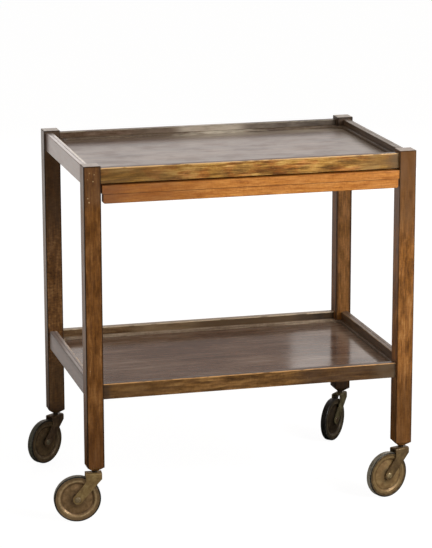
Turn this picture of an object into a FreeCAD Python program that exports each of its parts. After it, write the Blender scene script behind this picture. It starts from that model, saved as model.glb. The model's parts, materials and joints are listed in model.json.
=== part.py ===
"""Two-tier wooden tea trolley with a pull-out leaf, on four swivel castors.

Millimetres, Z up.  The front, where the leaf slides out, faces -Y.  The parts are
drawn with the middle of the frame on the Z axis and the floor at Z = 0, and moved at
the end so that the origin lies on the floor, under the middle of the whole outline
with the castors as they stand.
"""
import FreeCAD
import Part
import math
import os

V = FreeCAD.Vector

# ---- overall -------------------------------------------------------------
TROLLEY_WIDTH = 660.0          # over the legs, along X
TROLLEY_DEPTH = 435.0          # over the legs, along Y

# ---- legs ----------------------------------------------------------------
LEG_SECTION = 33.5
LEG_ARRIS = 1.2                # rounding of the long edges
LEG_TOP_ARRIS = 0.8
LEG_LENGTH = 601.5             # without the castor
FOOT_BEVEL = 8.5               # height of the four-sided taper at the foot
FOOT_FLAT = 13.0               # square left at the foot, round the castor socket

# ---- rails of both trays -------------------------------------------------
RAIL_THICKNESS = 15.5
RAIL_SETBACK = 5.0             # rail face behind the face of the legs
RAIL_ARRIS = 1.5
SIDE_RAIL_HEIGHT = 35.5        # top tray, sides
SIDE_RAIL_DROP = 5.5           # below the tops of the legs
END_RAIL_HEIGHT = 29.5         # top tray, front and back, shallower to clear the leaf
FRONT_RAIL_DROP = 5.0
BACK_RAIL_DROP = 6.5
SHELF_FRONT_HEIGHT = 30.0      # lower tray: the front rail is the lowest
SHELF_FRONT_DROP = 427.5
SHELF_RAIL_HEIGHT = 36.5       # and the others stand higher
SHELF_SIDE_DROP = 422.0
SHELF_BACK_DROP = 424.0
LINE_WIDTH = 1.1               # scratched line along the top of every rail
LINE_DEPTH = 0.8

# ---- tray bottoms and the bead round them ---------------------------------
TOP_FLOOR_DROP = 24.0          # tray bottoms below the tops of the legs
SHELF_FLOOR_DROP = 445.5
PANEL_THICKNESS = 6.0
PANEL_GROOVE = 4.0
JOINT_GAP = 0.2                # slack of a panel in its groove and round a leg
BEAD_WIDTH = 4.5
BEAD_HEIGHT = 6.5
BEAD_ROUND = 3.0
BEAD_CORNER = 30.0             # corner radius of the bead, inside the leg

# ---- dowels --------------------------------------------------------------
DOWEL_DIAMETER = 7.0
DOWEL_IN_LEG = 14.0
DOWEL_IN_RAIL = 16.0
DOWEL_FROM_TOP = 7.5
DOWEL_PITCH = 14.0
GLUE_GAP = 0.05

# ---- pull-out leaf ---------------------------------------------------------
LEAF_THICKNESS = 16.5
LEAF_GAP_TOP = 3.5             # under the front rail
LEAF_GAP_LEFT = 2.3            # the leaf has worn over to the right
LEAF_GAP_RIGHT = 0.6
LEAF_FRONT_INSET = 0.5
LEAF_BACK_INSET = 9.0
LEAF_TRAVEL = 300.0
LIP_HEIGHT = 18.5
LIP_DEPTH = 13.0
LIP_END_INSET = 1.6
LIP_CORNER = 4.5
RUNNER_WIDTH = 11.0
RUNNER_HEIGHT = 8.0
RUNNER_GAP = 0.3               # leaf groove round the runner
GROOVE_DEPTH = 10.7            # into each edge of the leaf
GROOVE_END = 12.0              # leaf groove stops this far behind its front
CLOSING_GAP = 0.5              # runner end to the blind end of the groove
RUNNER_BACK_INSET = 6.0
STOP_LENGTH = 36.0
STOP_WIDTH = 18.0
STOP_HEIGHT = 8.0
STOP_REACH = 7.0               # beyond the edge of the leaf, to meet the leg
STOP_GAP = 0.2                 # stop to leg with the leaf fully out

# ---- wood screws -----------------------------------------------------------
SCREW_DIAMETER = 3.4
SCREW_HEAD = 6.8
SCREW_HEAD_DEPTH = 1.9
SCREW_SLOT = 0.9
SCREW_SLOT_DEPTH = 0.7
RUNNER_SCREW_LENGTH = 22.0
RUNNER_SCREW_EDGE = 7.5        # from the end of the runner or the leg's corner
STOP_SCREW_LENGTH = 17.0
STOP_SCREW_INSET = 7.0         # from the inner end of the stop block
STOP_SCREW_PITCH = 9.0

# ---- castors ---------------------------------------------------------------
WHEEL_DIAMETER = 92.0
TRAIL = 34.5                   # swivel axis to axle
FORK_CLEARANCE = 3.5           # bridge over the top of the tyre
FORK_WIDTH = 21.4              # over the cheeks
FORK_SHEET = 2.5
FORK_BEND = 3.5                # outer radius of the bends
FORK_HEEL = 13.5               # cheek behind the swivel axis
FORK_TOE = 18.5                # cheek ahead of the swivel axis
FORK_HEEL_DROP = 12.0          # straight part of the cheek's back edge
FORK_TOE_DROP = 18.0
FORK_EYE = 9.5                 # radius of the cheek round the axle
SOCKET_DIAMETER = 11.0
SOCKET_LENGTH = 38.0
SOCKET_FLANGE = 12.6
SOCKET_FLANGE_THICKNESS = 1.3
SOCKET_BORE_LENGTH = 44.0      # in the leg, with room for the stem's nose
SOCKET_CRIMP = 3.0             # length at the top that is pinched round the stem's neck
STEM_DIAMETER = 8.0
STEM_SLACK = 0.06              # radial, stem in socket
STEM_NECK_DIAMETER = 6.0       # the socket's crimp holds the stem here
STEM_PLAY = 0.4                # neck longer than the crimp, at each end
STEM_NOSE = 4.0                # rounded end above the neck
COLLAR_DIAMETER = 10.0
COLLAR_HEIGHT = 3.0
COLLAR_GAP = 0.2               # collar under the socket's flange
STEM_TAIL_DIAMETER = 7.0
STEM_RIVET_DIAMETER = 10.5
STEM_RIVET_HEIGHT = 1.6
AXLE_DIAMETER = 6.0
AXLE_SLACK = 0.05              # radial, axle in hub
AXLE_HEAD_DIAMETER = 12.0
AXLE_HEAD_HEIGHT = 2.2
HUB_DIAMETER = 15.0
HUB_SIDE_GAP = 0.5
DISC_SHEET = 1.5
WEB_CROWN_RADIUS = 10.5        # flat of the web round the hub
WEB_CROWN_HALF_WIDTH = 6.4     # its outer face from the wheel's middle
WEB_RADIUS = 30.0              # the web slopes in to here, then steps out to the rim
WEB_HALF_WIDTH = 2.6
RIM_FOOT_HALF_WIDTH = 4.6      # outer face of the rim at its inner edge
RIM_HALF_WIDTH = 6.5           # and at its outer edge
TYRE_SHOW = 2.6                # rubber that stands beyond the metal rim
TYRE_SHOULDER = 1.6
TYRE_DEPTH = 7.0               # rubber that the discs hold, under the rim
CASTOR_ANGLES = {"front_left": 174.5, "front_right": 199.0,
                 "back_left": 216.0, "back_right": 226.0}

# ---- derived places ---------------------------------------------------------
FORK_TOP = WHEEL_DIAMETER + FORK_CLEARANCE + FORK_SHEET
COLLAR_TOP = FORK_TOP + COLLAR_HEIGHT
LEG_BOTTOM = COLLAR_TOP + COLLAR_GAP + SOCKET_FLANGE_THICKNESS
TROLLEY_HEIGHT = LEG_BOTTOM + LEG_LENGTH
HALF_WIDTH = TROLLEY_WIDTH / 2
HALF_DEPTH = TROLLEY_DEPTH / 2
LEG_X = HALF_WIDTH - LEG_SECTION / 2
LEG_Y = HALF_DEPTH - LEG_SECTION / 2
RAIL_IN = RAIL_SETBACK + RAIL_THICKNESS
SIDE_RAIL_TOP = TROLLEY_HEIGHT - SIDE_RAIL_DROP
FRONT_RAIL_TOP = TROLLEY_HEIGHT - FRONT_RAIL_DROP
BACK_RAIL_TOP = TROLLEY_HEIGHT - BACK_RAIL_DROP
SHELF_FRONT_TOP = TROLLEY_HEIGHT - SHELF_FRONT_DROP
SHELF_BACK_TOP = TROLLEY_HEIGHT - SHELF_BACK_DROP
SHELF_SIDE_TOP = TROLLEY_HEIGHT - SHELF_SIDE_DROP
TRAY_FLOORS = {"top": TROLLEY_HEIGHT - TOP_FLOOR_DROP, "shelf": TROLLEY_HEIGHT - SHELF_FLOOR_DROP}
LEAF_TOP = FRONT_RAIL_TOP - END_RAIL_HEIGHT - LEAF_GAP_TOP
LEAF_BOTTOM = LEAF_TOP - LEAF_THICKNESS
LEAF_LEFT = -HALF_WIDTH + LEG_SECTION + LEAF_GAP_LEFT
LEAF_RIGHT = HALF_WIDTH - LEG_SECTION - LEAF_GAP_RIGHT
LEAF_FRONT = -HALF_DEPTH + LEAF_FRONT_INSET
LEAF_BACK = HALF_DEPTH - LEAF_BACK_INSET
RUNNER_BOTTOM = LEAF_TOP - (LEAF_THICKNESS + RUNNER_HEIGHT) / 2
RUNNER_FRONT = LEAF_FRONT + GROOVE_END + CLOSING_GAP
RUNNER_BACK = HALF_DEPTH - RUNNER_BACK_INSET
STOP_FRONT = -HALF_DEPTH + LEG_SECTION + LEAF_TRAVEL + STOP_GAP
WHEEL_RADIUS = WHEEL_DIAMETER / 2
RIM_RADIUS = WHEEL_RADIUS - TYRE_SHOW
CHEEK_INNER = FORK_WIDTH / 2 - FORK_SHEET
TOUCH = 1e-6                   # two edges closer than this are in the same plane
LEGS = {"front_left": (-1, -1), "front_right": (1, -1),
        "back_left": (-1, 1), "back_right": (1, 1)}
NODES = {}


# ---- small helpers -----------------------------------------------------------
def box(x0, y0, z0, x1, y1, z1):
    """Block between two opposite corners."""
    return Part.makeBox(x1 - x0, y1 - y0, z1 - z0, V(x0, y0, z0))


def cylinder(radius, length, foot, along=V(0, 0, 1)):
    return Part.makeCylinder(radius, length, foot, along)


def revolve(points, axis=V(0, 0, 1)):
    """Solid of revolution from a closed outline of vectors in the XZ or XY plane."""
    face = Part.Face(Part.makePolygon(points + [points[0]]))
    return face.revolve(V(0, 0, 0), axis, 360)


def edges_where(shape, test):
    """Edges of a shape whose two end points both pass the test."""
    return [edge for edge in shape.Edges
            if len(edge.Vertexes) == 2 and all(test(v.Point) for v in edge.Vertexes)]


def upright(edge):
    """True for a vertical straight edge."""
    first, last = edge.Vertexes[0].Point, edge.Vertexes[-1].Point
    return (first - last).cross(V(0, 0, 1)).Length < TOUCH


def keep(name, solids):
    """Add one node: a single solid, or a group of separate solids."""
    NODES[name] = solids[0] if len(solids) == 1 else Part.makeCompound(solids)


def write_nodes():
    """Move everything to the row's origin and write one file per node."""
    whole = Part.makeCompound(list(NODES.values())).optimalBoundingBox(False)
    shift = V(-round(whole.Center.x, 1), -round(whole.Center.y, 1), 0)
    for name, shape in NODES.items():
        shape.translate(shift)
        shape.exportStep("parts/" + name + ".step")


# ---- frame: legs and rails ----------------------------------------------------
def rail_tops(tray):
    """Top and height of the front, back and side rails of one tray."""
    if tray == "top":
        side = (SIDE_RAIL_TOP, SIDE_RAIL_HEIGHT)
        return {"front": (FRONT_RAIL_TOP, END_RAIL_HEIGHT),
                "back": (BACK_RAIL_TOP, END_RAIL_HEIGHT), "left": side, "right": side}
    side = (SHELF_SIDE_TOP, SHELF_RAIL_HEIGHT)
    return {"front": (SHELF_FRONT_TOP, SHELF_FRONT_HEIGHT),
            "back": (SHELF_BACK_TOP, SHELF_RAIL_HEIGHT), "left": side, "right": side}


def dowel_lines(tray, side):
    """Axes of one rail's dowels: end point on the leg's face, outward direction."""
    top, _height = rail_tops(tray)[side]
    middle = RAIL_SETBACK + RAIL_THICKNESS / 2
    lines = []
    for row in range(2):
        z = top - DOWEL_FROM_TOP - row * DOWEL_PITCH
        for end in (-1, 1):
            if side in ("front", "back"):
                across = -1 if side == "front" else 1
                foot = V(end * (HALF_WIDTH - LEG_SECTION), across * (HALF_DEPTH - middle), z)
                lines.append((foot, V(end, 0, 0)))
            else:
                across = -1 if side == "left" else 1
                foot = V(across * (HALF_WIDTH - middle), end * (HALF_DEPTH - LEG_SECTION), z)
                lines.append((foot, V(0, end, 0)))
    return lines


def dowel(foot, outward, slack=0.0):
    """One dowel, or its bore when it is given some slack."""
    start = foot - outward * (DOWEL_IN_RAIL + slack)
    length = DOWEL_IN_RAIL + DOWEL_IN_LEG + 2 * slack
    return cylinder(DOWEL_DIAMETER / 2 + slack, length, start, outward)


def all_dowel_lines():
    return [line for tray in TRAY_FLOORS for side in rail_tops(tray)
            for line in dowel_lines(tray, side)]


def make_leg(corner):
    """Square leg with eased edges, a tapered foot, dowel bores and a castor bore."""
    sx, sy = LEGS[corner]
    x, y, half = sx * LEG_X, sy * LEG_Y, LEG_SECTION / 2
    leg = box(x - half, y - half, LEG_BOTTOM, x + half, y + half, TROLLEY_HEIGHT)
    leg = leg.makeFillet(LEG_ARRIS, [e for e in leg.Edges if upright(e)])
    top = [e for e in leg.Edges if e.BoundBox.ZMin > TROLLEY_HEIGHT - TOUCH]
    leg = leg.makeChamfer(LEG_TOP_ARRIS, top)
    leg = leg.common(foot_taper(x, y))
    for foot, outward in all_dowel_lines():
        if abs(foot.x - x) < LEG_SECTION and abs(foot.y - y) < LEG_SECTION:
            leg = leg.cut(dowel(foot, outward, GLUE_GAP))
    bore = SOCKET_DIAMETER / 2 + GLUE_GAP
    leg = leg.cut(cylinder(bore, SOCKET_BORE_LENGTH, V(x, y, LEG_BOTTOM)))
    for foot, outward in runner_screw_lines():
        if abs(foot.x - x) < LEG_SECTION and abs(foot.y - y) < half:
            leg = leg.cut(screw_hole(foot, outward, RUNNER_SCREW_LENGTH))
    return leg


def foot_taper(x, y):
    """Envelope of a leg: a square column drawn in to a small square at the foot."""
    def square(half, z):
        corners = [V(x + i * half, y + j * half, z)
                   for i, j in ((-1, -1), (1, -1), (1, 1), (-1, 1))]
        return Part.makePolygon(corners + [corners[0]])
    half = LEG_SECTION / 2
    shoulder = LEG_BOTTOM + FOOT_BEVEL
    taper = Part.makeLoft([square(FOOT_FLAT / 2, LEG_BOTTOM), square(half, shoulder)], True)
    column = box(x - half, y - half, shoulder, x + half, y + half, TROLLEY_HEIGHT)
    return taper.fuse(column).removeSplitter()


def make_rail(tray, side):
    """Rail between two legs: eased top, scratched line, panel groove, dowel bores."""
    top, height = rail_tops(tray)[side]
    floor = TRAY_FLOORS[tray]
    length = (TROLLEY_WIDTH if side in ("front", "back") else TROLLEY_DEPTH) - 2 * LEG_SECTION
    # drawn along X with its outer face towards -Y, then turned to its side
    rail = box(-length / 2, 0, top - height, length / 2, RAIL_THICKNESS, top)
    rail = rail.makeFillet(RAIL_ARRIS, [e for e in rail.Edges
                                        if e.BoundBox.ZMin > top - TOUCH and e.Length > length - TOUCH])
    groove = box(-length / 2, RAIL_THICKNESS - PANEL_GROOVE, floor - PANEL_THICKNESS,
                 length / 2, RAIL_THICKNESS, floor)
    middle = RAIL_THICKNESS / 2
    line = Part.Face(Part.makePolygon([V(-length / 2, middle - LINE_WIDTH / 2, top),
                                       V(-length / 2, middle + LINE_WIDTH / 2, top),
                                       V(-length / 2, middle, top - LINE_DEPTH),
                                       V(-length / 2, middle - LINE_WIDTH / 2, top)]))
    rail = rail.cut(groove).cut(line.extrude(V(length, 0, 0)))
    turn = {"front": 0, "right": 90, "back": 180, "left": 270}[side]
    reach = HALF_DEPTH if side in ("front", "back") else HALF_WIDTH
    rail.translate(V(0, RAIL_SETBACK - reach, 0))
    rail.rotate(V(0, 0, 0), V(0, 0, 1), turn)
    for foot, outward in dowel_lines(tray, side):
        rail = rail.cut(dowel(foot, outward, GLUE_GAP))
    return rail


# ---- tray bottoms --------------------------------------------------------------
def leg_corners(reach, z0, z1):
    """Four square columns at the legs, as far in as reach from the outer faces."""
    columns = []
    for sx, sy in LEGS.values():
        xs = sorted((sx * HALF_WIDTH, sx * (HALF_WIDTH - reach)))
        ys = sorted((sy * HALF_DEPTH, sy * (HALF_DEPTH - reach)))
        columns.append(box(xs[0], ys[0], z0, xs[1], ys[1], z1))
    return columns


def make_panel(tray):
    """Thin tray bottom, held in the rails' grooves and notched round the legs."""
    floor = TRAY_FLOORS[tray]
    edge = RAIL_IN - PANEL_GROOVE + JOINT_GAP
    panel = box(edge - HALF_WIDTH, edge - HALF_DEPTH, floor - PANEL_THICKNESS,
                HALF_WIDTH - edge, HALF_DEPTH - edge, floor)
    for column in leg_corners(LEG_SECTION + JOINT_GAP, floor - PANEL_THICKNESS, floor):
        panel = panel.cut(column)
    return panel


def rounded_block(inset, radius, z0, z1):
    """Block inset from the legs' outer faces, with rounded upright corners."""
    block = box(inset - HALF_WIDTH, inset - HALF_DEPTH, z0,
                HALF_WIDTH - inset, HALF_DEPTH - inset, z1)
    return block.makeFillet(radius, [e for e in block.Edges if upright(e)])


def make_bead(tray):
    """Bead round the foot of the rails: four mitred strips, rounded past the legs."""
    floor = TRAY_FLOORS[tray]
    top = floor + BEAD_HEIGHT
    ring = box(RAIL_IN - HALF_WIDTH, RAIL_IN - HALF_DEPTH, floor,
               HALF_WIDTH - RAIL_IN, HALF_DEPTH - RAIL_IN, top)
    ring = ring.cut(rounded_block(RAIL_IN + BEAD_WIDTH, BEAD_CORNER, floor, top))
    inside = RAIL_IN + BEAD_WIDTH - TOUCH
    ring = ring.makeFillet(BEAD_ROUND, edges_where(
        ring, lambda p: p.z > top - TOUCH and abs(p.x) < HALF_WIDTH - inside
        and abs(p.y) < HALF_DEPTH - inside))
    for column in leg_corners(LEG_SECTION, floor, top):
        ring = ring.cut(column)
    return [ring.common(wedge) for wedge in mitre_wedges(floor, top)]


def mitre_wedges(z0, z1):
    """Four prisms that part a rectangular ring along 45 degree mitres."""
    offset = HALF_WIDTH - HALF_DEPTH
    corners = [V(-HALF_WIDTH, -HALF_DEPTH, z0), V(HALF_WIDTH, -HALF_DEPTH, z0),
               V(HALF_WIDTH, HALF_DEPTH, z0), V(-HALF_WIDTH, HALF_DEPTH, z0)]
    left, right = V(-offset, 0, z0), V(offset, 0, z0)
    outlines = [[corners[0], corners[1], right, left], [corners[1], corners[2], right],
                [corners[2], corners[3], left, right], [corners[3], corners[0], left]]
    return [Part.Face(Part.makePolygon(line + [line[0]])).extrude(V(0, 0, z1 - z0))
            for line in outlines]


# ---- screws ----------------------------------------------------------------------
def screw(foot, into, length):
    """Countersunk slotted wood screw; foot is the middle of its flush head."""
    head, shank = SCREW_HEAD / 2, SCREW_DIAMETER / 2
    body = revolve([V(0, 0, 0), V(head, 0, 0), V(shank, 0, SCREW_HEAD_DEPTH),
                    V(shank, 0, length - 2 * shank), V(0, 0, length)])
    slot = box(-head, -SCREW_SLOT / 2, 0, head, SCREW_SLOT / 2, SCREW_SLOT_DEPTH)
    return aim(body.cut(slot), foot, into)


def screw_hole(foot, into, length):
    """Clearance for a screw, from the flush face down."""
    head, shank = SCREW_HEAD / 2 + GLUE_GAP, SCREW_DIAMETER / 2 + GLUE_GAP
    hole = revolve([V(0, 0, 0), V(head, 0, 0), V(shank, 0, SCREW_HEAD_DEPTH),
                    V(shank, 0, length + GLUE_GAP), V(0, 0, length + GLUE_GAP)])
    return aim(hole, foot, into)


def aim(shape, foot, along):
    """Turn a shape drawn up the Z axis so that it points along a direction."""
    turned = shape.copy()
    turned.Placement = FreeCAD.Placement(foot, FreeCAD.Rotation(V(0, 0, 1), along))
    return turned


# ---- leaf and runners ----------------------------------------------------------------
def runner_faces(side):
    """Leg face and inner face of one runner, as X values in ascending order."""
    face = side * (HALF_WIDTH - LEG_SECTION)
    return sorted((face, face - side * RUNNER_WIDTH))


def runner_screw_lines():
    """Runner screws: head middle on the runner's inner face, direction to the leg."""
    near = RUNNER_SCREW_EDGE
    rows = (RUNNER_FRONT + near, -HALF_DEPTH + LEG_SECTION - near,
            HALF_DEPTH - LEG_SECTION + near, RUNNER_BACK - near)
    z = RUNNER_BOTTOM + RUNNER_HEIGHT / 2
    return [(V(side * (HALF_WIDTH - LEG_SECTION - RUNNER_WIDTH), y, z), V(side, 0, 0))
            for side in (-1, 1) for y in rows]


def make_runner(side):
    """Hardwood strip screwed to the inner faces of two legs; the leaf runs on it."""
    x0, x1 = runner_faces(side)
    runner = box(x0, RUNNER_FRONT, RUNNER_BOTTOM, x1, RUNNER_BACK, RUNNER_BOTTOM + RUNNER_HEIGHT)
    for foot, outward in runner_screw_lines():
        if outward.x == side:
            runner = runner.cut(screw_hole(foot, outward, RUNNER_SCREW_LENGTH))
    return runner


def stop_screw_lines():
    """Stop screws: head middle under the block, pointing up into the leaf."""
    lines = []
    for side in (-1, 1):
        inner = (LEAF_LEFT if side < 0 else LEAF_RIGHT) + side * (STOP_REACH - STOP_LENGTH)
        for row in range(2):
            x = inner + side * (STOP_SCREW_INSET + row * STOP_SCREW_PITCH)
            lines.append((V(x, STOP_FRONT + STOP_WIDTH / 2, LEAF_BOTTOM - STOP_HEIGHT),
                          V(0, 0, 1)))
    return lines


def make_leaf_board():
    """Leaf with a stopped groove in each edge, open at the back, for the runners."""
    leaf = box(LEAF_LEFT, LEAF_FRONT, LEAF_BOTTOM, LEAF_RIGHT, LEAF_BACK, LEAF_TOP)
    leaf = leaf.makeFillet(RAIL_ARRIS, [e for e in leaf.Edges
                                        if abs(e.BoundBox.YMax - LEAF_FRONT) < TOUCH
                                        and e.BoundBox.ZMin > LEAF_TOP - TOUCH])
    for edge, inwards in ((LEAF_LEFT, 1), (LEAF_RIGHT, -1)):
        x0, x1 = sorted((edge, edge + inwards * GROOVE_DEPTH))
        groove = box(x0, LEAF_FRONT + GROOVE_END, RUNNER_BOTTOM - RUNNER_GAP,
                     x1, LEAF_BACK, RUNNER_BOTTOM + RUNNER_HEIGHT + RUNNER_GAP)
        leaf = leaf.cut(groove)
    for foot, upward in stop_screw_lines():
        leaf = leaf.cut(screw_hole(foot, upward, STOP_SCREW_LENGTH))
    return leaf


def make_leaf_lip():
    """Grip strip glued under the front edge of the leaf, rounded at its lower corners."""
    lip = box(LEAF_LEFT + LIP_END_INSET, LEAF_FRONT, LEAF_BOTTOM - LIP_HEIGHT,
              LEAF_RIGHT - LIP_END_INSET, LEAF_FRONT + LIP_DEPTH, LEAF_BOTTOM)
    bottom = LEAF_BOTTOM - LIP_HEIGHT + TOUCH
    corners = [e for e in lip.Edges if e.BoundBox.ZMax < bottom and e.BoundBox.XLength < TOUCH]
    lip = lip.makeFillet(LIP_CORNER, corners)
    front = [e for e in lip.Edges if e.BoundBox.ZMax < bottom
             and e.BoundBox.YMax < LEAF_FRONT + TOUCH]
    return lip.makeFillet(RAIL_ARRIS, front)


def make_leaf_stop(side):
    """Block under the back of the leaf that meets the front leg when it is out."""
    outer = (LEAF_LEFT if side < 0 else LEAF_RIGHT) + side * STOP_REACH
    x0, x1 = sorted((outer, outer - side * STOP_LENGTH))
    block = box(x0, STOP_FRONT, LEAF_BOTTOM - STOP_HEIGHT, x1, STOP_FRONT + STOP_WIDTH,
                LEAF_BOTTOM)
    block = block.makeChamfer(RAIL_ARRIS, [e for e in block.Edges
                                           if e.BoundBox.ZMax < LEAF_BOTTOM - TOUCH])
    for foot, upward in stop_screw_lines():
        if foot.x * side > 0:
            block = block.cut(screw_hole(foot, upward, STOP_SCREW_LENGTH))
    return block


# ---- castors -------------------------------------------------------------------------
# Each castor is drawn with its swivel axis on Z and its trail along +X.
def place_castor(shape, corner):
    """Turn a castor part to its rest angle and set it under its leg."""
    sx, sy = LEGS[corner]
    placed = shape.copy()
    placed.rotate(V(0, 0, 0), V(0, 0, 1), CASTOR_ANGLES[corner])
    placed.translate(V(sx * LEG_X, sy * LEG_Y, 0))
    return placed


def make_socket():
    """Steel sleeve in the leg: a flange under the foot, and a top end pinched in."""
    bore, outside = STEM_DIAMETER / 2 + STEM_SLACK, SOCKET_DIAMETER / 2
    crimp = STEM_NECK_DIAMETER / 2 + STEM_SLACK
    flange_bottom = LEG_BOTTOM - SOCKET_FLANGE_THICKNESS
    top = LEG_BOTTOM + SOCKET_LENGTH
    return revolve([V(bore, 0, flange_bottom), V(SOCKET_FLANGE / 2, 0, flange_bottom),
                    V(SOCKET_FLANGE / 2, 0, LEG_BOTTOM), V(outside, 0, LEG_BOTTOM),
                    V(outside, 0, top - SOCKET_CRIMP), V(outside - bore + crimp, 0, top),
                    V(crimp, 0, top), V(crimp, 0, top - SOCKET_CRIMP),
                    V(bore, 0, top - SOCKET_CRIMP)])


def make_stem():
    """Swivel pin: riveted to the bridge under a collar, with a neck that the crimp holds."""
    under = FORK_TOP - FORK_SHEET
    socket_top = LEG_BOTTOM + SOCKET_LENGTH
    neck_foot, neck_top = socket_top - SOCKET_CRIMP - STEM_PLAY, socket_top + STEM_PLAY
    tail, pin, neck = STEM_TAIL_DIAMETER / 2, STEM_DIAMETER / 2, STEM_NECK_DIAMETER / 2
    rivet, collar = STEM_RIVET_DIAMETER / 2, COLLAR_DIAMETER / 2
    return revolve([V(0, 0, under - STEM_RIVET_HEIGHT), V(tail, 0, under - STEM_RIVET_HEIGHT),
                    V(rivet, 0, under), V(tail, 0, under), V(tail, 0, FORK_TOP),
                    V(collar, 0, FORK_TOP), V(collar, 0, COLLAR_TOP), V(pin, 0, COLLAR_TOP),
                    V(pin, 0, neck_foot), V(neck, 0, neck_foot), V(neck, 0, neck_top),
                    V(pin, 0, neck_top), V(pin, 0, neck_top + STEM_NOSE / 2),
                    V(pin / 2, 0, neck_top + STEM_NOSE), V(0, 0, neck_top + STEM_NOSE)])


def tangent_point(px, pz, side):
    """Where a line from a point touches the eye round the axle; side picks which."""
    dx, dz = px - TRAIL, pz - WHEEL_RADIUS
    angle = math.atan2(dz, dx) + side * math.acos(FORK_EYE / math.hypot(dx, dz))
    return V(TRAIL + FORK_EYE * math.cos(angle), 0, WHEEL_RADIUS + FORK_EYE * math.sin(angle))


def cheek_outline():
    """Side view of the fork: square head, waist slanting down to a round eye."""
    heel = V(-FORK_HEEL, 0, FORK_TOP - FORK_HEEL_DROP)
    toe = V(FORK_TOE, 0, FORK_TOP - FORK_TOE_DROP)
    low = tangent_point(heel.x, heel.z, 1)
    high = tangent_point(toe.x, toe.z, -1)
    spread = V(TRAIL, 0, WHEEL_RADIUS) - (heel + toe) * 0.5
    tip = V(TRAIL, 0, WHEEL_RADIUS) + spread.normalize() * FORK_EYE
    top_heel, top_toe = V(heel.x, 0, FORK_TOP), V(toe.x, 0, FORK_TOP)
    line = Part.LineSegment
    edges = [line(top_toe, top_heel), line(top_heel, heel), line(heel, low),
             Part.Arc(low, tip, high), line(high, toe), line(toe, top_toe)]
    return Part.Wire([edge.toShape() for edge in edges])


def make_fork():
    """Fork bent from strip: flat bridge and two cheeks, riveted to stem and axle."""
    half = FORK_WIDTH / 2
    outside = box(-FORK_HEEL, -half, 0, TRAIL + FORK_EYE, half, FORK_TOP)
    inside = box(-FORK_HEEL, -CHEEK_INNER, 0, TRAIL + FORK_EYE, CHEEK_INNER,
                 FORK_TOP - FORK_SHEET)
    bends = [(outside, FORK_BEND, FORK_TOP), (inside, FORK_BEND - FORK_SHEET,
                                              FORK_TOP - FORK_SHEET)]
    outside, inside = [block.makeFillet(radius, [e for e in block.Edges
                       if e.BoundBox.ZMin > top - TOUCH and e.BoundBox.YLength < TOUCH])
                       for block, radius, top in bends]
    profile = Part.Face(cheek_outline())
    profile.translate(V(0, -half, 0))
    fork = outside.cut(inside).common(profile.extrude(V(0, FORK_WIDTH, 0)))
    fork = fork.cut(cylinder(STEM_TAIL_DIAMETER / 2, FORK_TOP, V(0, 0, 0)))
    eye = cylinder(AXLE_DIAMETER / 2, FORK_WIDTH, V(TRAIL, -half, WHEEL_RADIUS), V(0, 1, 0))
    return fork.cut(eye)


def on_axle(points):
    """Revolve an outline of (radius, offset) pairs about the axle."""
    shape = revolve([V(radius, offset, 0) for radius, offset in points], V(0, 1, 0))
    shape.translate(V(TRAIL, 0, WHEEL_RADIUS))
    return shape


def make_axle():
    """Rivet through both cheeks, with a domed head at each end."""
    pin, head, half = AXLE_DIAMETER / 2, AXLE_HEAD_DIAMETER / 2, FORK_WIDTH / 2
    dome = (head * head + AXLE_HEAD_HEIGHT ** 2) / (2 * AXLE_HEAD_HEIGHT)
    axle = on_axle([(0, -half), (pin, -half), (pin, half), (0, half)])
    for side in (-1, 1):
        centre = V(TRAIL, side * (half + AXLE_HEAD_HEIGHT - dome), WHEEL_RADIUS)
        cap = Part.makeSphere(dome, centre)
        slab = cylinder(dome, AXLE_HEAD_HEIGHT, V(TRAIL, side * half, WHEEL_RADIUS), V(0, side, 0))
        axle = axle.fuse(cap.common(slab))
    return axle.removeSplitter()


def make_hub():
    """Bush on the axle, shouldered so that the two discs clamp on it."""
    bore, half = AXLE_DIAMETER / 2 + AXLE_SLACK, CHEEK_INNER - HUB_SIDE_GAP
    return on_axle([(bore, -half), (HUB_DIAMETER / 2, -half),
                    (HUB_DIAMETER / 2, half), (bore, half)])


def make_disc(side):
    """Pressed wheel disc: dished web, a step out, and a rim that flares to the tyre."""
    t = DISC_SHEET
    face = [(HUB_DIAMETER / 2, WEB_CROWN_HALF_WIDTH), (WEB_CROWN_RADIUS, WEB_CROWN_HALF_WIDTH),
            (WEB_RADIUS, WEB_HALF_WIDTH), (WEB_RADIUS + 2 * t, RIM_FOOT_HALF_WIDTH),
            (RIM_RADIUS, RIM_HALF_WIDTH)]
    back = [(radius, offset - t) for radius, offset in face]
    return on_axle([(radius, side * offset) for radius, offset in face + back[::-1]])


def make_tyre():
    """Solid rubber tyre, held between the rims of the discs."""
    run = RIM_RADIUS - TYRE_DEPTH
    flare = (RIM_HALF_WIDTH - RIM_FOOT_HALF_WIDTH) / (RIM_RADIUS - WEB_RADIUS - 2 * DISC_SHEET)
    at_rim = RIM_HALF_WIDTH - DISC_SHEET
    at_foot = at_rim - flare * TYRE_DEPTH
    half = [(run, at_foot), (RIM_RADIUS, at_rim), (RIM_RADIUS, RIM_HALF_WIDTH),
            (WHEEL_RADIUS - TYRE_SHOULDER, RIM_HALF_WIDTH),
            (WHEEL_RADIUS, RIM_HALF_WIDTH - TYRE_SHOULDER)]
    mirrored = [(radius, -offset) for radius, offset in reversed(half)]
    return on_axle(half + mirrored)


# ---- the whole trolley ------------------------------------------------------------------
def build_frame():
    for corner in LEGS:
        keep("leg_" + corner, [make_leg(corner)])
    for tray in TRAY_FLOORS:
        for side in rail_tops(tray):
            keep(tray + "_rail_" + side, [make_rail(tray, side)])
        keep(tray + "_panel", [make_panel(tray)])
        keep(tray + "_bead", make_bead(tray))
    keep("rail_dowels", [dowel(foot, outward) for foot, outward in all_dowel_lines()])


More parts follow.
